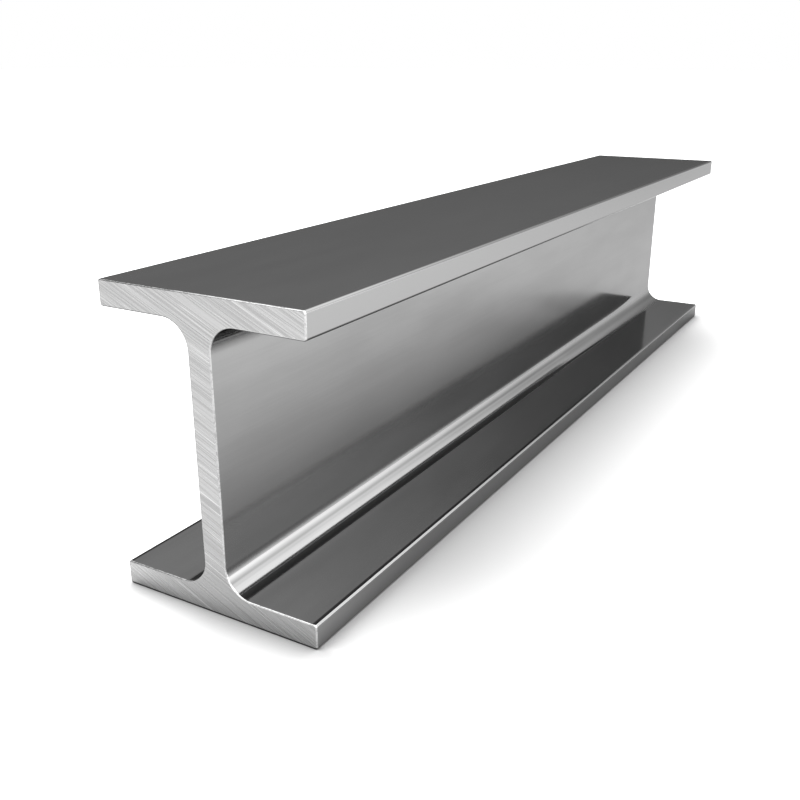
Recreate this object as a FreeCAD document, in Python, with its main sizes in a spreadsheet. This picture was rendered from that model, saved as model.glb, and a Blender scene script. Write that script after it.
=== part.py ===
# Rolled steel H-beam, a short piece sawn from the mill length.
#
# The beam is one piece of steel: two parallel flanges and a web, rolled together. X runs along the beam,
# Y across the flanges and Z up. The origin is at the middle of the lower flange's underside.
# All sizes are in millimetres.

import FreeCAD, Part
import os
import Sketcher
from FreeCAD import Vector

BEAM_SIZES = (
    ("cut_length", 862, "Length between the two sawn ends"),
    ("section_depth", 200, "Height over both flanges"),
    ("flange_width", 147, "Width of each flange"),
    ("flange_thickness", 16.4, "Thickness of each flange, even from root to toe"),
    ("web_thickness", 16.4, "Thickness of the web"),
    ("root_radius", 18, "Fillet where the web runs into a flange"),
    ("toe_radius", 1.8, "Rounding that the rolls leave on the long edges of a flange"),
    ("sawn_edge_radius", 0.9, "Rounding of the deburred edges of a sawn end"),
)

# The sides of the section's outline, in drawing order: up the right half, then down the left half.
OUTLINE_SIDES = (
    "right_low_toe",
    "right_low_inside",
    "right_web",
    "right_high_inside",
    "right_high_toe",
    "top",
    "left_high_toe",
    "left_high_inside",
    "left_web",
    "left_low_inside",
    "left_low_toe",
    "underside",
)

TOUCHING = 1e-6


def make_size_sheet(doc):
    """One row for each driving dimension: its name, its value under an alias, and what it measures."""
    sheet = doc.addObject("Spreadsheet::Sheet", "sizes")
    for row, (alias, value, meaning) in enumerate(BEAM_SIZES, 1):
        sheet.set(f"A{row}", alias.replace("_", " "))
        sheet.set(f"B{row}", str(value))
        sheet.setAlias(f"B{row}", alias)
        sheet.set(f"C{row}", meaning)
    doc.recompute()
    return sheet


def origin_plane(body, role):
    """The body's own origin plane with that role."""
    return next(plane for plane in body.Origin.OriginFeatures if plane.Role == role)


def outline_corners(sheet):
    """The twelve sharp corners of the H, starting at the lower right toe and going up the right half."""
    half_flange = sheet.flange_width / 2
    half_web = sheet.web_thickness / 2
    flange_top = sheet.flange_thickness
    flange_bottom = sheet.section_depth - sheet.flange_thickness
    right_half = [
        (half_flange, 0),
        (half_flange, flange_top),
        (half_web, flange_top),
        (half_web, flange_bottom),
        (half_flange, flange_bottom),
        (half_flange, sheet.section_depth),
    ]
    left_half = [(-across, up) for across, up in reversed(right_half)]
    return [Vector(across, up, 0) for across, up in right_half + left_half]


def draw_section(body, sheet):
    """The H section, sharp-cornered, fully constrained and centred on the upright axis."""
    # How a sketch numbers its own two axes, and the two ends of a line.
    across_axis, upright_axis = -1, -2
    start, end = 1, 2

    sketch = body.newObject("Sketcher::SketchObject", "h_section")
    sketch.AttachmentSupport = [(origin_plane(body, "YZ_Plane"), "")]
    sketch.MapMode = "FlatFace"

    corners = outline_corners(sheet)
    sides = {}
    for number, side in enumerate(OUTLINE_SIDES):
        following = corners[(number + 1) % len(corners)]
        sides[side] = sketch.addGeometry(Part.LineSegment(corners[number], following))

    def constrain(*terms):
        return sketch.addConstraint(Sketcher.Constraint(*terms))

    def drive(alias, kind, *terms):
        """A dimension of the sketch that follows the sheet's value with that alias."""
        index = constrain(kind, *terms, sheet.get(alias))
        sketch.renameConstraint(index, alias)
        sketch.setExpression(f"Constraints.{alias}", f"{sheet.Name}.{alias}")

    for number in range(len(OUTLINE_SIDES)):
        constrain("Coincident", number, end, (number + 1) % len(OUTLINE_SIDES), start)
    for side, line in sides.items():
        if side.endswith(("_toe", "_web")):
            constrain("Vertical", line)
        elif side.endswith("_inside"):
            constrain("Horizontal", line)

    top = sides["top"]
    underside = sides["underside"]
    left_web = sides["left_web"]
    right_web = sides["right_web"]
    constrain("Symmetric", underside, start, underside, end, upright_axis)
    constrain("Symmetric", top, start, top, end, upright_axis)
    constrain("Symmetric", left_web, end, right_web, start, upright_axis)
    constrain("Horizontal", left_web, start, right_web, end)
    constrain("PointOnObject", underside, start, across_axis)
    constrain("Equal", top, underside)
    constrain("Equal", sides["right_low_toe"], sides["right_high_toe"])

    drive("flange_width", "DistanceX", underside, start, underside, end)
    drive("flange_thickness", "DistanceY", sides["right_low_toe"], start, sides["right_low_toe"], end)
    drive("web_thickness", "DistanceX", left_web, end, right_web, start)
    drive("section_depth", "DistanceY", underside, start, top, end)
    body.Document.recompute()
    if not sketch.FullyConstrained:
        raise RuntimeError("the H section is not fully constrained")
    return sketch


def extrude_section(body, section, sheet):
    """The section carried along the beam, as far to either side of the origin."""
    pad = body.newObject("PartDesign::Pad", "rolled_length")
    pad.Profile = section
    pad.SideType = "Symmetric"
    pad.setExpression("Length", f"{sheet.Name}.cut_length")
    body.Document.recompute()
    return pad


def round_edges(body, base, name, radius, wanted, sheet):
    """Rounds every edge of the base feature that the test picks, with the sheet's radius of that name."""
    edges = [f"Edge{number}" for number, edge in enumerate(base.Shape.Edges, 1) if wanted(edge)]
    rounding = body.newObject("PartDesign::Fillet", name)
    rounding.Base = (base, edges)
    rounding.setExpression("Radius", f"{sheet.Name}.{radius}")
    body.Document.recompute()
    return rounding


def make_beam(doc, sheet):
    """The whole beam: section, length, root fillets, rounded toes, and the eased edges of both sawn ends."""
    body = doc.addObject("PartDesign::Body", "h_beam")
    body.Label = "h_beam"

    def runs_along_beam(edge):
        return edge.BoundBox.XLength > sheet.cut_length / 2

    def is_root(edge):
        return runs_along_beam(edge) and abs(abs(edge.BoundBox.Center.y) - sheet.web_thickness / 2) < TOUCHING

    def is_toe(edge):
        return runs_along_beam(edge) and abs(abs(edge.BoundBox.Center.y) - sheet.flange_width / 2) < TOUCHING

    def is_sawn(edge):
        return abs(abs(edge.BoundBox.Center.x) - sheet.cut_length / 2) < TOUCHING

    section = draw_section(body, sheet)
    rolled = extrude_section(body, section, sheet)
    rooted = round_edges(body, rolled, "root_fillets", "root_radius", is_root, sheet)
    toed = round_edges(body, rooted, "rounded_toes", "toe_radius", is_toe, sheet)
    body.Tip = round_edges(body, toed, "eased_sawn_edges", "sawn_edge_radius", is_sawn, sheet)
    doc.recompute()
    return body


def check_model(doc, bodies):
    """Stops before anything is written if an object failed or a piece has no sound solid."""
    failed = [item.Name for item in doc.Objects if {"Invalid", "Error"} & set(item.State)]
    if failed:
        raise RuntimeError(f"these objects failed: {failed}")
    for body in bodies:
        shape = body.Shape
        if shape.isNull() or not shape.isValid() or len(shape.Solids) != 1:
            raise RuntimeError(f"{body.Label} is not one valid solid")


def main():
    doc = FreeCAD.newDocument("h_beam")
    sheet = make_size_sheet(doc)
    bodies = [make_beam(doc, sheet)]
    check_model(doc, bodies)
    os.makedirs("parts", exist_ok=True)
    for body in bodies:
        body.Shape.exportStep(os.path.join("parts", f"{body.Label}.step"))
        box = body.Shape.BoundBox
        print(f"{body.Label}: {box.XLength:.1f} x {box.YLength:.1f} x {box.ZLength:.1f} mm,",
              f"volume {body.Shape.Volume:.0f} mm3, {len(body.Shape.Faces)} faces")


main()
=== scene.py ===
# A short length of rolled steel H-beam, bare and clean, standing on its lower flange on a pale floor.
# X runs along the beam, Y across the flanges and Z up, in metres.

import math

import bpy
import numpy as np
from mathutils import Matrix


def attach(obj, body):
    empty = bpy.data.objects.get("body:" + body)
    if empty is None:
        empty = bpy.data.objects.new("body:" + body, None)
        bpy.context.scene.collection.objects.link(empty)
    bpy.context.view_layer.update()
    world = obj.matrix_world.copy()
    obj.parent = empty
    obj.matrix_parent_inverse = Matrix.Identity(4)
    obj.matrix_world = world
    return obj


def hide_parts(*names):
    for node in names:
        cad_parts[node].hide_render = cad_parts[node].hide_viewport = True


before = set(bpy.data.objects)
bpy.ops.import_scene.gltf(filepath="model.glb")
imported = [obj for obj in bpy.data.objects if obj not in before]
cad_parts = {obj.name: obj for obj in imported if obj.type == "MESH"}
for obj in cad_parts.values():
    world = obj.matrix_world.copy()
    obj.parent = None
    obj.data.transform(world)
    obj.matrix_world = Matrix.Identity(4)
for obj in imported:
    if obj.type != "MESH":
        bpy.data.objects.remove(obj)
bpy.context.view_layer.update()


# The shape of the beam: one piece of steel, two parallel flanges and the web between them, with a fillet in
# each corner. The mill rolls it in one long bar, which rounds the toes of the flanges. A saw cuts it to
# length and leaves slanting grooves over both ends, and a file takes the sharp edge off all round them.

SECTION_DEPTH = 0.200
FLANGE_WIDTH = 0.147
FLANGE_THICKNESS = 0.0164
WEB_THICKNESS = 0.0164
ROOT_RADIUS = 0.018
TOE_RADIUS = 0.0018
BEAM_LENGTH = 0.862
SAWN_EDGE_RADIUS = 0.0009

TOE_SIDE = FLANGE_WIDTH / 2
TOE_CENTRE = TOE_SIDE - TOE_RADIUS
WEB_SIDE = WEB_THICKNESS / 2
ROOT_CENTRE = WEB_SIDE + ROOT_RADIUS
ROOT_TOP = FLANGE_THICKNESS + ROOT_RADIUS
HALF_LENGTH = BEAM_LENGTH / 2

STEPS_IN_MIDDLE = 72
STEPS_TO_TOE = 90
STEPS_ON_TOE = 6
STEPS_UP_TOE = 10
STEPS_IN_ROOT = 22
STEPS_UP_WEB = 120
STEPS_ON_SAWN_EDGE = 5
STEPS_ALONG = 12
TOUCHING = 1e-9
MERGED_WITHIN = 1e-7

SAW_SLANT = math.radians(25)
SAW_GROOVE_DEPTH = 0.00002
SAW_GROOVE_PITCH = 0.0013
SAW_SCRATCH_DEPTH = 0.00004
SAW_SCRATCH_LENGTH = 0.03
SAW_WANDER = 0.0006
SAW_WANDER_LENGTH = 0.045
SAW_BAND_WIDTH = 0.017
BURR_NICK_DEPTH = 0.0006
BURR_NICK_LENGTH = 0.0012
BURR_CLUSTER_LENGTH = 0.005
NEAR_END_SEED = 11
FAR_END_SEED = 61
NICK_SEED_SHIFT = 20

# The places of the three finishes in the mesh's list of materials.
ROLLED, SAWN, FILED = 0, 1, 2


def straight(start, stop, normal, steps):
    """Evenly spaced points from start to stop, each with the same outward normal."""
    share = np.linspace(0, 1, steps + 1)[:, None]
    points = np.array(start) * (1 - share) + np.array(stop) * share
    return points, np.broadcast_to(np.array(normal, float), points.shape)


def arc(centre, radius, first, last, steps):
    """Points on an arc: the centre plus the radius times the cosine and sine of an angle that goes from first
    to last, in degrees. The outward normal points away from the centre where the steel is inside the arc, and
    towards it where the radius is given as negative, for a fillet."""
    angle = np.radians(np.linspace(first, last, steps + 1))
    away = np.stack([np.cos(angle), np.sin(angle)], axis=1)
    return np.array(centre) + abs(radius) * away, np.sign(radius) * away


def joined(runs):
    """Runs of points and normals put end to end. The point that two runs share is kept once."""
    points = np.concatenate([runs[0][0]] + [run[0][1:] for run in runs[1:]])
    normals = np.concatenate([runs[0][1]] + [run[1][1:] for run in runs[1:]])
    return points, normals


def mirrored(run, across, up):
    """The run seen in a mirror and walked backwards: y becomes across * y, and the height over the middle of
    the section becomes up times itself."""
    points, normals = run
    middle = np.array([0, SECTION_DEPTH / 2])
    flip = np.array([across, up])
    return ((points - middle) * flip + middle)[::-1], (normals * flip)[::-1]


# The lower right quarter of the outline, from the middle of the underside to the middle of the web, in the
# runs that the sawn face uses again.
underside = joined([
    straight((0, 0), (ROOT_CENTRE, 0), (0, -1), STEPS_IN_MIDDLE // 2),
    straight((ROOT_CENTRE, 0), (TOE_CENTRE, 0), (0, -1), STEPS_TO_TOE),
])
toe = joined([
    arc((TOE_CENTRE, TOE_RADIUS), TOE_RADIUS, -90, 0, STEPS_ON_TOE),
    straight((TOE_SIDE, TOE_RADIUS), (TOE_SIDE, FLANGE_THICKNESS - TOE_RADIUS), (1, 0), STEPS_UP_TOE),
    arc((TOE_CENTRE, FLANGE_THICKNESS - TOE_RADIUS), TOE_RADIUS, 0, 90, STEPS_ON_TOE),
])
inside = straight((TOE_CENTRE, FLANGE_THICKNESS), (ROOT_CENTRE, FLANGE_THICKNESS), (0, 1), STEPS_TO_TOE)
web = joined([
    arc((ROOT_CENTRE, ROOT_TOP), -ROOT_RADIUS, 270, 180, STEPS_IN_ROOT),
    straight((WEB_SIDE, ROOT_TOP), (WEB_SIDE, SECTION_DEPTH / 2), (1, 0), STEPS_UP_WEB // 2),
])
quarter = joined([underside, toe, inside, web])
right_half = joined([quarter, mirrored(quarter, 1, -1)])
outline = joined([right_half, mirrored(right_half, -1, 1)])
outline = outline[0][:-1], outline[1][:-1]


def rolled_bar():
    """The outline carried along X. At each end it leans over: at a lean of a degrees from the sides of the
    bar, the ring stands radius * sin(a) beyond the start of the rounding and radius * (1 - cos(a)) inside the
    outline, so the sides run into the sawn face on a quarter circle. Returns points and outward normals."""
    quarter_turn = np.radians(np.linspace(0, 90, STEPS_ON_SAWN_EDGE + 1))
    between = np.zeros(STEPS_ALONG - 1)
    lean = np.concatenate([-quarter_turn[::-1], between, quarter_turn])
    straight_part = HALF_LENGTH - SAWN_EDGE_RADIUS
    station = np.concatenate([
        np.full(STEPS_ON_SAWN_EDGE, -straight_part),
        np.linspace(-straight_part, straight_part, STEPS_ALONG + 1),
        np.full(STEPS_ON_SAWN_EDGE, straight_part),
    ])
    ring, out = outline
    inset = SAWN_EDGE_RADIUS * (1 - np.cos(lean))[:, None, None]
    section = ring - inset * out
    reach = (station + SAWN_EDGE_RADIUS * np.sin(lean))[:, None, None]
    along = np.broadcast_to(reach, section.shape[:2] + (1,))
    tilt = np.broadcast_to(np.sin(lean)[:, None, None], along.shape)
    points = np.concatenate([along, section], axis=2)
    normals = np.concatenate([tilt, out * np.cos(lean)[:, None, None]], axis=2)
    closed_points = np.concatenate([points, points[:, :1]], axis=1)
    closed_normals = np.concatenate([normals, normals[:, :1]], axis=1)
    return closed_points, closed_normals


def sawn_face(end):
    """The flat of one end as three grids of (y, z): lower flange, web with its fillets, upper flange. A row
    of a grid spans the steel at one height, from minus to plus its half width, in columns that all three
    share."""
    flange_rows = toe[0] - SAWN_EDGE_RADIUS * toe[1]
    lower_web = web[0] - SAWN_EDGE_RADIUS * web[1]
    upper_web = mirrored((lower_web, web[1]), 1, -1)[0]
    web_rows = np.concatenate([lower_web, upper_web[1:]])

    right = underside[0][:, 0]
    columns = np.concatenate([-right[:0:-1], right])
    beyond_root = np.clip((np.abs(columns) - ROOT_CENTRE) / (TOE_CENTRE - ROOT_CENTRE), 0, 1)
    reach = flange_rows[:, :1] - TOE_CENTRE
    flange_y = columns + np.sign(columns) * beyond_root * reach
    flange_z = np.broadcast_to(flange_rows[:, 1:], flange_y.shape)
    middle = columns[np.abs(columns) <= ROOT_CENTRE + TOUCHING] / ROOT_CENTRE
    web_y = web_rows[:, :1] * middle
    web_z = np.broadcast_to(web_rows[:, 1:], web_y.shape)

    flats = [(flange_y, flange_z), (web_y, web_z), (flange_y[::-1], SECTION_DEPTH - flange_z[::-1])]
    grids = []
    for across, up in flats:
        points = np.stack([np.full(across.shape, end * HALF_LENGTH), across, up], axis=2)
        grids.append(points if end < 0 else points[:, ::-1])
    return grids


def grid_faces(shape, first):
    """Four-cornered faces between neighbouring points of a grid, whose points are numbered from first on."""
    number = first + np.arange(shape[0] * shape[1]).reshape(shape)
    corners = [number[:-1, :-1], number[1:, :-1], number[1:, 1:], number[:-1, 1:]]
    return np.stack(corners, axis=2).reshape(-1, 4)


def merged(grids):
    """One mesh from several grids. Points that fall on each other to a tenth of a micrometre become one."""
    faces, first = [], 0
    for points in grids:
        faces.append(grid_faces(points.shape[:2], first))
        first += points.shape[0] * points.shape[1]
    loose = np.concatenate([points.reshape(-1, 3) for points in grids])
    steps = np.round(loose / MERGED_WITHIN).astype(np.int64)
    _, kept, place = np.unique(steps, axis=0, return_index=True, return_inverse=True)
    return loose[kept], place.reshape(-1)[np.concatenate(faces)], kept


def smooth_noise(place, seed, cells=4096):
    """A row of heights from 0 to 1, always the same for one seed, read at any place. Between neighbours it
    follows a smooth curve: the share of the way from one to the next, s, is bent to s * s * (3 - 2 * s)."""
    heights = np.random.default_rng(seed).random(cells)
    cell = np.floor(place).astype(int)
    share = place - cell
    share = share * share * (3 - 2 * share)
    return heights[cell % cells] * (1 - share) + heights[(cell + 1) % cells] * share


def saw_relief(y, z, seed):
    """Depth of the saw's marks below the face: straight grooves across the slant, which wander a little and
    have an uneven pitch. A noise raised to the ninth power leaves a few deep scratches, which come and go
    along their length. Places are counted from a metre off, so that none is below 0."""
    across = z * math.cos(SAW_SLANT) - y * math.sin(SAW_SLANT) + 1
    along = y * math.cos(SAW_SLANT) + z * math.sin(SAW_SLANT) + 1
    wandering = across + SAW_WANDER * smooth_noise(along / SAW_WANDER_LENGTH, seed)
    grooves = smooth_noise(wandering / SAW_GROOVE_PITCH, seed + 1)
    fine = smooth_noise(wandering / (SAW_GROOVE_PITCH * 0.45), seed + 2)
    deep = smooth_noise(wandering / (SAW_GROOVE_PITCH * 0.8), seed + 3) ** 9
    band = 0.5 + 0.5 * smooth_noise(across / SAW_BAND_WIDTH, seed + 4)
    shifted = 40 * smooth_noise(across / 0.004, seed + 5)
    fade = 0.4 + 0.6 * smooth_noise(along / SAW_SCRATCH_LENGTH + shifted, seed + 6)
    return band * SAW_GROOVE_DEPTH * (0.65 * grooves + 0.35 * fine) + SAW_SCRATCH_DEPTH * deep * fade


def burr_nicks(y, z, seed):
    """Depth of the nicks that the saw tears out of the rim, which lie where two noises along it are both
    high: the square of their product."""
    place = y + 2.3 * z + 1
    notches = smooth_noise(place / BURR_NICK_LENGTH, seed)
    clusters = smooth_noise(place / BURR_CLUSTER_LENGTH, seed + 1)
    return BURR_NICK_DEPTH * (notches * clusters) ** 2


bar_points, bar_normals = rolled_bar()
points, faces, kept = merged([bar_points[:, ::-1]] + sawn_face(-1) + sawn_face(1))

# How squarely a point looks along the beam: 1 on the sawn face, 0 on the rolled sides, and between them on
# the rim.
bar_count = bar_points.shape[0] * bar_points.shape[1]
known = bar_normals[:, ::-1].reshape(-1, 3)
on_bar = kept < bar_count
normals = np.where(on_bar[:, None], known[np.minimum(kept, bar_count - 1)], 0)
facing_end = np.where(on_bar, np.abs(normals[:, 0]), 1)

# The marks go into the steel: the saw's along X, and the nicks square to the upper half of the rim. Each end
# has its own.
near, y, z = points[:, 0] < 0, points[:, 1], points[:, 2]
relief = np.where(near, saw_relief(y, z, NEAR_END_SEED), saw_relief(y, -z, FAR_END_SEED))
nicks = np.where(near, burr_nicks(y, z, NEAR_END_SEED + NICK_SEED_SHIFT),
                 burr_nicks(y, z, FAR_END_SEED + NICK_SEED_SHIFT))
on_rim = 4 * facing_end * (1 - facing_end)
points[:, 0] -= np.where(near, -1, 1) * facing_end ** 2 * relief
points -= normals * (nicks * on_rim * np.clip(2 * normals[:, 2], 0, 1))[:, None]

mesh = bpy.data.meshes.new("h_beam_steel")
mesh.vertices.add(len(points))
mesh.vertices.foreach_set("co", points.astype(np.float32).ravel())
mesh.loops.add(faces.size)
mesh.loops.foreach_set("vertex_index", faces.astype(np.int32).ravel())
mesh.polygons.add(len(faces))
mesh.polygons.foreach_set("loop_start", np.arange(0, faces.size, 4, dtype=np.int32))
mesh.update(calc_edges=True)
mesh.polygons.foreach_set("use_smooth", np.ones(len(faces), bool))
on_end = facing_end[faces].max(axis=1) > 0.01
on_face = facing_end[faces].min(axis=1) > 0.99
finish_of = np.where(on_face, SAWN, np.where(on_end, FILED, ROLLED))
mesh.polygons.foreach_set("material_index", finish_of.astype(np.int32))

# The sides and the rim keep the exact normals of their flats and arcs, and the sawn faces have those of their
# own relief.
found = np.empty(len(points) * 3, np.float32)
mesh.vertices.foreach_get("normal", found)
shading = np.where(facing_end[:, None] < 0.99, normals, found.reshape(-1, 3))
mesh.normals_split_custom_set_from_vertices(shading)

h_beam_steel = bpy.data.objects.new("h_beam_steel", mesh)
bpy.context.collection.objects.link(h_beam_steel)


# The skin that the rolls leave on the steel: dense, grey and nearly as smooth as a mirror, with a faint grain
# along the beam. The toes of the flanges are painted a little brighter, a painted sheen, and thin dark lines
# of painted shade lie in the lower roots, beside the edges of the lower flange and under the upper toes.

ROLLED_DARK = (0.217, 0.217, 0.217, 1)
ROLLED_LIGHT = (0.241, 0.241, 0.241, 1)
# Painted sheen: the brighter grey of the toes of the flanges.
ROLLED_TOE_SHEEN = (0.258, 0.258, 0.258, 1)
ROLLED_ROUGHNESS = 0.118
ROLLED_DIP = (0.55, 0.55, 0.55, 1)
CLOUDS_PER_METRE = (9.0, 38.0, 38.0)
GRAIN_PER_METRE = (14.0, 900.0, 900.0)
GRAIN_HEIGHT = 0.0000004
# Where the painted sheen on the toes lies, across the beam.
TOE_SHEEN_BAND = (0.0723, 0.0734)

# Painted shade: thin, dull, dark lines that stand for dark reflections in the lower roots, beside the edges
# of the lower flange and under the upper toes.
PAINTED_LINE_SHADE = (0.03, 0.03, 0.03, 1)
PAINTED_LINE_ROUGHNESS = 0.45
ROOT_LINE = 0.0201
ROOT_LINE_DRIFT = 0.0030
ROOT_LINE_HALF_WIDTH = 0.0018
ROOT_LINE_NARROWING = 0.0014
ROOT_LINE_SOFTNESS = 0.0016
EDGE_LINE = 0.0712
EDGE_LINE_REACH = (0.0007, 0.0013)
UNDER_TOE_LINE = 0.1846
UNDER_TOE_REACH = (0.0005, 0.0009)


class Signal:
    """A number that varies over a surface. It wraps a node's socket, and an expression on signals and plain
    numbers adds the Math nodes that work it out."""

    def __init__(self, finish, socket):
        self.finish = finish
        self.socket = socket

    def maths(self, operation, *terms):
        return self.finish.node("Math", {"operation": operation}, dict(enumerate(terms)))

    def __add__(self, other):
        return self.maths("ADD", self, other)

    def __sub__(self, other):
        return self.maths("SUBTRACT", self, other)

    def __rsub__(self, other):
        return self.maths("SUBTRACT", other, self)

    def __mul__(self, other):
        return self.maths("MULTIPLY", self, other)

    def __pow__(self, other):
        return self.maths("POWER", self, other)

    def __abs__(self):
        return self.maths("ABSOLUTE", self)

    __radd__ = __add__
    __rmul__ = __mul__

    def at_least(self, other):
        return self.maths("MAXIMUM", self, other)

    def at_most(self, other):
        return self.maths("MINIMUM", self, other)

    def rising(self, low, high):
        """0 below low, 1 above high, and a smooth curve between them."""
        settings = {"interpolation_type": "SMOOTHSTEP", "clamp": True}
        return self.finish.node("MapRange", settings, {0: self, 1: low, 2: high, 3: 0, 4: 1})

    def near(self, middle, full, none):
        """1 as far as full to either side of the middle, 0 from none on, and a smooth curve between."""
        return 1 - abs(self - middle).rising(full, none)


class Finish:
    """The nodes of a material or of the world, and the one method that adds to them."""

    def __init__(self, owner, kind="Material"):
        owner.use_nodes = True
        self.owner = owner
        self.kind = kind
        self.tree = owner.node_tree
        self.tree.nodes.clear()

    def node(self, kind, settings=None, values=None, output=0):
        """Adds a node, makes its settings, then sets or links its inputs by name or number, and returns one
        of its outputs as a signal."""
        made = self.tree.nodes.new("ShaderNode" + kind)
        for name, setting in (settings or {}).items():
            setattr(made, name, setting)
        for name, value in (values or {}).items():
            if isinstance(value, Signal):
                self.tree.links.new(value.socket, made.inputs[name])
            else:
                made.inputs[name].default_value = value
        return Signal(self, made.outputs[output])

    def place(self):
        """The place on the piece, in metres from the object's origin."""
        return self.node("TexCoord", output="Object")

    def part(self, vector, axis):
        """The X, Y or Z of a vector."""
        return self.node("SeparateXYZ", None, {0: vector}, output=axis)

    def grey(self, level):
        """The grey whose red, green and blue are all that level."""
        return self.node("CombineColor", None, {0: level, 1: level, 2: level})

    def stretched_noise(self, place, per_metre, turn=0.0, detail=2.0):
        """Noise with that many cells to the metre along each axis. The pattern can be turned about X."""
        turned = self.node("Mapping", {"vector_type": "TEXTURE"}, {0: place, 2: (turn, 0, 0)})
        scaled = self.node("VectorMath", {"operation": "MULTIPLY"}, {0: turned, 1: per_metre})
        values = {0: scaled, "Scale": 1.0, "Detail": detail}
        return self.node("TexNoise", {"noise_dimensions": "3D"}, values)

    def blended(self, share, low, high):
        """The colour that lies that share of the way from low to high."""
        return self.node("Mix", {"data_type": "RGBA"}, {0: share, 6: low, 7: high}, output=2)

    def bumped(self, height, distance):
        return self.node("Bump", None, {"Height": height, "Distance": distance, "Strength": 1.0})

    def done(self, shader):
        out = self.tree.nodes.new("ShaderNodeOutput" + self.kind)
        self.tree.links.new(shader.socket, out.inputs["Surface"])
        return self.owner


def rolled_steel():
    """Grey steel with cloudy patches a few centimetres long, a fine grain along X, and toes painted a little
    brighter, a painted sheen. The painted shade line in a root drifts outwards and narrows along the beam,
    and all the painted shade lines fade towards the far end. A specular tint below 1 makes the steel mirror
    less at grazing angles than a clean mirror would."""
    steel = Finish(bpy.data.materials.new("rolled_steel"))
    place = steel.place()
    along = steel.part(place, "X")
    across = abs(steel.part(place, "Y"))
    height = steel.part(place, "Z")
    clouds = steel.stretched_noise(place, CLOUDS_PER_METRE, detail=3.0)
    grain = steel.stretched_noise(place, GRAIN_PER_METRE, detail=2.0)
    # Painted sheen on the toes of the flanges, which are also a little rougher there.
    toe_sheen = across.rising(*TOE_SHEEN_BAND)

    # Painted shade: the dark lines in the lower roots, beside the lower flange's edges and under the upper
    # toes.
    low = 1 - height.rising(0.03, 0.05)
    root_middle = ROOT_LINE + ROOT_LINE_DRIFT * along.rising(0.0, 0.36)
    root_full = ROOT_LINE_HALF_WIDTH - ROOT_LINE_NARROWING * along.rising(-0.05, 0.12)
    root_strength = 0.95 - 0.45 * along.rising(0.16, 0.36)
    in_root = across.near(root_middle, root_full, root_full + ROOT_LINE_SOFTNESS) * root_strength
    on_edge = across.near(EDGE_LINE, *EDGE_LINE_REACH) * 0.9 * (1 - along.rising(-0.05, 0.15))
    toe_strength = 0.75 - 0.4 * along.rising(-0.2, 0.2)
    under_toe = height.near(UNDER_TOE_LINE, *UNDER_TOE_REACH) * toe_sheen * toe_strength
    painted_lines = low * in_root.at_least(on_edge) + under_toe

    tone = (0.75 * clouds + 0.25 * grain).rising(0.34, 0.66)
    colour = steel.blended(tone, ROLLED_DARK, ROLLED_LIGHT)
    colour = steel.blended(toe_sheen, colour, ROLLED_TOE_SHEEN)
    colour = steel.blended(painted_lines, colour, PAINTED_LINE_SHADE)
    rough = ROLLED_ROUGHNESS + 0.03 * (clouds - 0.5) + 0.03 * (grain - 0.5) + 0.03 * toe_sheen
    rough = rough + (PAINTED_LINE_ROUGHNESS - rough) * low * in_root
    return steel.done(steel.node("BsdfPrincipled", None, {
        "Base Color": colour,
        "Metallic": 1.0,
        "Specular Tint": ROLLED_DIP,
        "Roughness": rough,
        "Normal": steel.bumped(grain, GRAIN_HEIGHT),
    }))


# The bare metal that the saw opens: brighter and duller than the rolled skin, scored all over by the teeth in
# straight slanting lines, with a few bright scratches. A painted shade darkens its lower part a little, and a
# painted contact shade its lowest edge.

SAWN_DARK = (0.31, 0.31, 0.31, 1)
SAWN_LIGHT = (0.40, 0.40, 0.40, 1)
SAWN_SCRATCH = (0.54, 0.54, 0.54, 1)
SAWN_ROUGHNESS = 0.28
LINES_PER_METRE = (1.0, 12.0, 1300.0)
HAIRS_PER_METRE = (1.0, 18.0, 2100.0)
SCRATCHES_PER_METRE = (1.0, 18.0, 1500.0)
LINE_HEIGHT = 0.00004
# Painted shade low on the sawn face: how far it goes towards the dark colour below.
LOW_PAINTED_SHADE = 0.20
# Painted contact shade: the dark colour of the lowest edge where the steel stands on the floor, and of the
# painted shade low on the sawn face.
PAINTED_CONTACT_SHADE = (0.02, 0.02, 0.02, 1)


def sawn_steel():
    """Lines of two widths across the slant of the saw, about a hundred times as long as they are wide, and
    plainer in the lower half. Painted shade darkens the face from 8 to 110 mm above the floor, and painted
    contact shade its lowest edge."""
    steel = Finish(bpy.data.materials.new("sawn_steel"))
    place = steel.place()
    height = steel.part(place, "Z")
    lines = steel.stretched_noise(place, LINES_PER_METRE, SAW_SLANT, detail=0.0)
    hairs = steel.stretched_noise(place, HAIRS_PER_METRE, SAW_SLANT, detail=0.0)
    scratches = steel.stretched_noise(place, SCRATCHES_PER_METRE, SAW_SLANT, detail=0.0).rising(0.70, 0.77)

    plain = 0.4 * (1 - height.rising(0.02, 0.10))
    tone = (0.5 * lines + 0.5 * hairs).rising(0.41, 0.59)
    tone = tone + (0.5 - tone) * plain
    # Painted shade: the sawn face darker from 8 to 110 mm above the floor.
    low_shade = LOW_PAINTED_SHADE * height.rising(0.008, 0.03) * (1 - height.rising(0.035, 0.11))
    colour = steel.blended(tone, SAWN_DARK, SAWN_LIGHT)
    colour = steel.blended(0.7 * scratches, colour, SAWN_SCRATCH)
    colour = steel.blended(low_shade, colour, PAINTED_CONTACT_SHADE)
    # Painted contact shade along the lowest edge.
    colour = steel.blended(height.rising(0.0008, 0.0018), PAINTED_CONTACT_SHADE, colour)
    rough = SAWN_ROUGHNESS + 0.12 * (lines - 0.5) + 0.08 * (hairs - 0.5) - 0.06 * scratches
    return steel.done(steel.node("BsdfPrincipled", None, {
        "Base Color": colour,
        "Metallic": 1.0,
        "Roughness": rough,
        "Normal": steel.bumped(0.6 * lines + 0.4 * hairs, LINE_HEIGHT),
    }))


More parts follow.
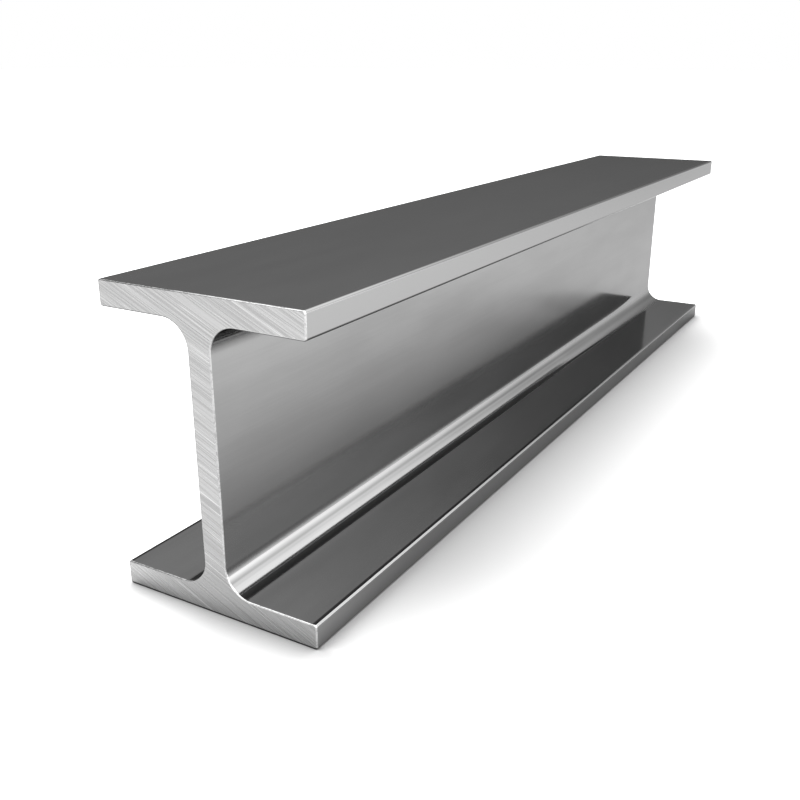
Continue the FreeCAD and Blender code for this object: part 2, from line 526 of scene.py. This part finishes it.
# The rim round each sawn face, where a file has taken off the burr. The side at minus Y carries a painted
# highlight, the brightest metal on the beam, and the other side is duller. Small dents and specks are left.

FILED_DARK = (0.14, 0.14, 0.14, 1)
# Painted highlight: the bright colour of the rim, reached on the side at minus Y.
FILED_HIGHLIGHT = (0.48, 0.48, 0.48, 1)
# Painted shade for the rim where it looks down.
FILED_UNDERSIDE_SHADE = (0.15, 0.15, 0.15, 1)
FILED_ROUGHNESS = 0.22
FILED_DIP = (0.30, 0.30, 0.30, 1)
SPECKS_PER_METRE = (700.0, 700.0, 700.0)
SPECK_HEIGHT = 0.00002


def filed_steel():
    """Metal with specks a millimetre or two across, brighter by a painted highlight on the side at minus Y.
    Painted shade darkens the rim where it looks down and where it stands on the floor."""
    steel = Finish(bpy.data.materials.new("filed_steel"))
    place = steel.place()
    across = steel.part(place, "Y")
    height = steel.part(place, "Z")
    specks = steel.stretched_noise(place, SPECKS_PER_METRE, detail=1.0)
    downwards = 0 - steel.part(steel.node("TexCoord", output="Normal"), "Z")

    # Painted highlight on the side at minus Y, mixed with the specks.
    highlit_side = (0 - across).rising(-0.04, 0.035)
    tone = 0.65 * highlit_side + 0.35 * specks.rising(0.30, 0.60)
    colour = steel.blended(tone, FILED_DARK, FILED_HIGHLIGHT)
    # Painted shade where the rim looks down.
    colour = steel.blended(downwards.rising(0.1, 0.6), colour, FILED_UNDERSIDE_SHADE)
    # Painted contact shade where the rim stands on the floor.
    colour = steel.blended(height.rising(0.0011, 0.0018), PAINTED_CONTACT_SHADE, colour)
    return steel.done(steel.node("BsdfPrincipled", None, {
        "Base Color": colour,
        "Metallic": 1.0,
        "Specular Tint": FILED_DIP,
        "Roughness": FILED_ROUGHNESS + 0.10 * (specks - 0.5),
        "Normal": steel.bumped(specks, SPECK_HEIGHT),
    }))


for finish in (rolled_steel(), sawn_steel(), filed_steel()):
    mesh.materials.append(finish)
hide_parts("h_beam")
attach(h_beam_steel, "root")


# The floor: one smooth, matt, pale sheet that runs out of sight. The camera, and the steel that mirrors it,
# see the sheet paler than it lights its surroundings, and the shadow lies on it all the same.

FLOOR_HALF_SIZE = 30.0
FLOOR_TONE = 0.80
FLOOR_SEEN_TONE = 2.15
REACH_BESIDE = 0.020
SHADE_BESIDE = 0.92
REACH_IN_FRONT = 0.055
SHADE_IN_FRONT = 0.87
LEE_OF_CORNER = (0.42, -0.10, 0)
LEE_REACH = (0.03, 0.09)
SHADE_IN_LEE = 0.24
FALL_TOWARDS_CAMERA = 0.20
FALL_BEHIND_BEAM = 0.14

sheet = bpy.data.meshes.new("floor")
side = np.array([-FLOOR_HALF_SIZE, FLOOR_HALF_SIZE])
corners = np.stack(np.meshgrid(side, side, indexing="ij"), axis=2).reshape(-1, 2)
sheet.from_pydata(np.column_stack([corners, np.zeros(4)]).tolist(), [], [(0, 2, 3, 1)])
floor = bpy.data.objects.new("floor", sheet)
bpy.context.collection.objects.link(floor)


def seen(finish):
    """1 for a ray from the camera, also by way of a mirror or through glass, and 0 for the soft light that
    goes between surfaces, so that what is seen here adds no light to anything."""
    camera = finish.node("LightPath", output="Is Camera Ray")
    glossy = finish.node("LightPath", output="Is Glossy Ray")
    through = finish.node("LightPath", output="Is Transmission Ray")
    scattered = finish.node("LightPath", output="Diffuse Depth")
    return camera.at_least(glossy).at_least(through) * (1 - scattered.at_most(1))


def pale_floor():
    """Pale paint. Where the steel covers part of the room from it, close beside the beam or before a sawn
    end, a painted shade darkens it by a power of that part. The steel mirrors a faint painted shade by its
    far corner, and a painted fall-off darkens the sheet a little towards the camera and far behind the beam."""
    pale = Finish(bpy.data.materials.new("pale_floor"))

    def covered(reach):
        return 1 - pale.node("AmbientOcclusion", {"samples": 16}, {"Distance": reach}, output="AO")

    place = pale.place()
    along = pale.part(place, "X")
    in_front = abs(along).rising(HALF_LENGTH - 0.006, HALF_LENGTH + 0.001)
    beside = SHADE_BESIDE * covered(REACH_BESIDE) ** 2
    before = SHADE_IN_FRONT * covered(REACH_IN_FRONT) ** 0.5
    contact = 1 - (beside + in_front * (before - beside)).at_most(1)
    ends = {0: place, 1: LEE_OF_CORNER}
    away = pale.node("VectorMath", {"operation": "DISTANCE"}, ends, output="Value")
    in_mirror = pale.node("LightPath", output="Is Glossy Ray")
    lee = 1 - SHADE_IN_LEE * (1 - away.rising(*LEE_REACH)) * in_mirror
    towards_camera = 1 - FALL_TOWARDS_CAMERA * (0 - along).rising(0.44, 0.60)
    behind_beam = 1 - FALL_BEHIND_BEAM * along.rising(1.0, 2.2)
    tone = FLOOR_TONE + (FLOOR_SEEN_TONE - FLOOR_TONE) * seen(pale)
    tone = tone * contact * lee * towards_camera * behind_beam
    return pale.done(pale.node("BsdfDiffuse", None, {"Color": pale.grey(tone)}))


sheet.materials.append(pale_floor())


# The light: a broad soft lamp high on the far side of the beam, and the even glow of a pale room.

KEY_HEIGHT = math.radians(52)
KEY_SPREAD = math.radians(80)
KEY_SHARE = 0.60
ROOM_SHARE = 0.40

lamp = bpy.data.lights.new("key", "SUN")
lamp.energy = KEY_SHARE * math.pi / math.sin(KEY_HEIGHT)
lamp.angle = KEY_SPREAD
key = bpy.data.objects.new("key", lamp)
key.matrix_world = Matrix.Rotation(KEY_HEIGHT - math.pi / 2, 4, "X")
key.visible_glossy = False
bpy.context.collection.objects.link(key)

room = Finish(bpy.data.worlds.new("pale_room"), "World")
room_level = ROOM_SHARE + (1 - ROOM_SHARE) * seen(room)
room.done(room.node("Background", None, {"Color": (1, 1, 1, 1), "Strength": room_level}))
bpy.context.scene.world = room.owner


# The studio that the steel mirrors: a wide dome of cards round the beam, dark near the floor and paler
# overhead, with a soft box hung above and a bright strip low on the camera's side.

CAMERA_SIDE = -113
DOME_RADIUS = 14.0
DOME_ROWS = 91
DOME_COLUMNS = 181

CARD_AT_FLOOR = 0.03
CARD_OVERHEAD = 0.70
CARD_BY_CAMERA = 0.25
BOX_GLOW = 2.5
BOX_EDGE_AT = (-45, -25, 5, 15, 35, 50)
BOX_EDGE_LOWERED = (-12, 5, 11, 10, 16, 12)
STRIP_GLOW = 1.8
STRIP_GLOW_BY_CAMERA = 2.7
VEIL_GLOW = 0.5
VEIL_GLOW_BY_CAMERA = 0.3


def smooth(value, low, high):
    """0 below low, 1 above high, and s * s * (3 - 2 * s) between them."""
    share = np.clip((value - low) / (high - low), 0, 1)
    return share * share * (3 - 2 * share)


def studio_glow(azimuth, elevation):
    """How bright the cards are in a direction, in degrees from +X towards +Y and above the floor. Inward is
    how far it is turned towards the camera's side, the same to left and right. The cards grow paler with
    elevation. The soft box shines above a smooth edge, which lies lower at some places than at others. The
    strip glows along the floor, with a top that rises with inward, and a veil of light hangs over the top."""
    inward = -CAMERA_SIDE - np.abs((azimuth - CAMERA_SIDE + 180) % 360 - 180)
    card = CARD_AT_FLOOR + CARD_OVERHEAD * smooth(elevation, -1, 21) + CARD_BY_CAMERA * smooth(inward, -5, 14)
    box = BOX_GLOW * smooth(elevation + np.interp(inward, BOX_EDGE_AT, BOX_EDGE_LOWERED), 26, 56)

    strip_top = np.clip(0.73 * inward - 2.9, 15.5, 29)
    strip = STRIP_GLOW * smooth(inward, 5, 18) + STRIP_GLOW_BY_CAMERA * smooth(inward, 22, 57)
    strip = strip * (1 - smooth(elevation, 0, strip_top))

    above_foot = elevation - (3.2 + 0.42 * inward)
    veil = VEIL_GLOW + VEIL_GLOW_BY_CAMERA * smooth(inward, 28, 42)
    veil = veil * smooth(inward, 14, 24) * (1 - smooth(inward, 50, 65))
    veil = veil * smooth(above_foot, 0, 3.5) * (1 - smooth(above_foot, 5, 11))
    return card + box + strip + veil


def studio_dome():
    """Half a sphere: a point lies at the radius times the cosines and sines of its azimuth and elevation. The
    glow at each point is kept as an attribute of the mesh."""
    azimuth = np.linspace(-180, 180, DOME_COLUMNS)
    elevation = np.linspace(-2, 90, DOME_ROWS)
    turn, rise = np.meshgrid(np.radians(azimuth), np.radians(elevation), indexing="xy")
    direction = [np.cos(rise) * np.cos(turn), np.cos(rise) * np.sin(turn), np.sin(rise)]
    place = DOME_RADIUS * np.stack(direction, axis=2)
    dome = bpy.data.meshes.new("studio_cards")
    dome.from_pydata(place.reshape(-1, 3).tolist(), [], grid_faces(place.shape[:2], 0).tolist())
    glow = dome.attributes.new("glow", "FLOAT", "POINT")
    level = studio_glow(azimuth[None, :], np.maximum(elevation, 0)[:, None])
    glow.data.foreach_set("value", level.astype(np.float32).ravel())
    return bpy.data.objects.new("studio_cards", dome)


cards = studio_dome()
bpy.context.collection.objects.link(cards)
paper = Finish(bpy.data.materials.new("card"))
glow = paper.node("Attribute", {"attribute_name": "glow"}, output="Fac")
card_level = ROOM_SHARE + (glow - ROOM_SHARE) * seen(paper)
paper.done(paper.node("Emission", None, {"Color": paper.grey(card_level), "Strength": 1.0}))
paper.owner.cycles.emission_sampling = "NONE"
cards.data.materials.append(paper.owner)
for ray in ("visible_camera", "visible_diffuse", "visible_shadow", "visible_transmission"):
    setattr(cards, ray, False)


# The camera stands before the beam's near end, a little above it, and looks down along its right-hand side.

CAMERA_PLACE = (-0.79616, -0.34318, 0.31712)
CAMERA_FORWARD = (0.8099, 0.4765, -0.3422)
SENSOR_WIDTH = 36
LENS = 41.895

forward = np.array(CAMERA_FORWARD) / np.linalg.norm(CAMERA_FORWARD)
right = np.cross(forward, (0, 0, 1))
right = right / np.linalg.norm(right)
upward = np.cross(right, forward)

camera_data = bpy.data.cameras.new("camera")
camera_data.sensor_width = SENSOR_WIDTH
camera_data.lens = LENS
camera_data.clip_start = 0.01
camera_data.clip_end = 100
camera = bpy.data.objects.new("camera", camera_data)
stance = np.eye(4)
stance[:3] = np.column_stack([right, upward, -forward, CAMERA_PLACE])
camera.matrix_world = Matrix(stance.tolist())
bpy.context.collection.objects.link(camera)
bpy.context.scene.camera = camera
bpy.context.scene.view_settings.view_transform = "Standard"
